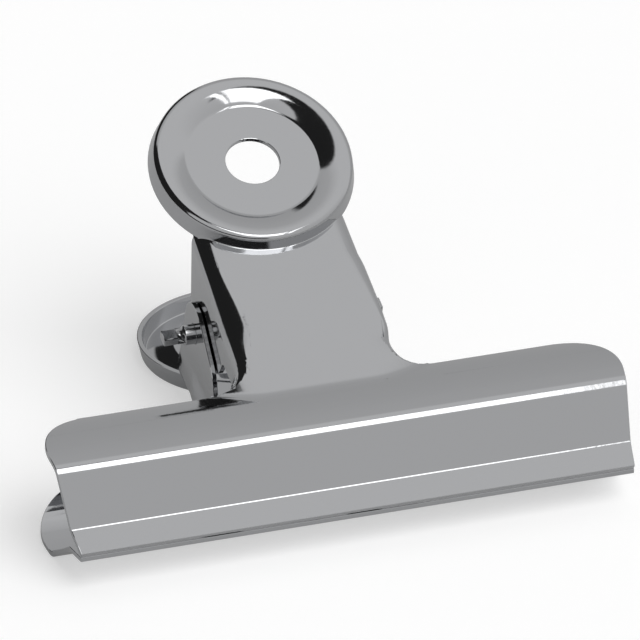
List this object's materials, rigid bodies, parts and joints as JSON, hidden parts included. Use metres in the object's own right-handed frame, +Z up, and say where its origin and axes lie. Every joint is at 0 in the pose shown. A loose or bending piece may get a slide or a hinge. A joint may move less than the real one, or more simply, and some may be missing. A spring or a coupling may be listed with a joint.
{
  "type": "bulldog clip",
  "caption": "Wide bulldog clip of pressed plated steel, lying shut on its back: curved jaws with flat lips, ears on a pin, a torsion spring and ridged thumb discs with hanging holes.",
  "frame": {"origin": "middle of the footprint on the surface that the clip lies on, shut, on the crest of its rear jaw and the ridge of its rear thumb disc", "axes": "+X along the jaws, parallel to the pin; +Y from the lips towards the thumb discs; +Z up, towards the front plate"},
  "size_m": [0.075, 0.0662, 0.0384],
  "materials": {
    "plated_sheet": "bright nickel plate on pressed sheet steel",
    "plated_pin": "bright plated steel with flattened tips",
    "spring_wire": "plain drawn spring wire"
  },
  "bodies": {
    "rear": {"rear_plate": "plated_sheet", "pivot_pin": "plated_pin", "torsion_spring": "spring_wire"},
    "front": {"front_plate": "plated_sheet"}
  },
  "joints": [
    {"name": "jaw_hinge", "type": "hinge", "parent": "rear", "child": "front", "pos_m": [0, 0.00312, 0.01355], "axis": [-1, 0, 0], "range_deg": [0, 65], "stiffness_Nm_per_rad": 0.18, "springref_deg": -57.3, "deforming": ["torsion_spring"]}
  ]
}
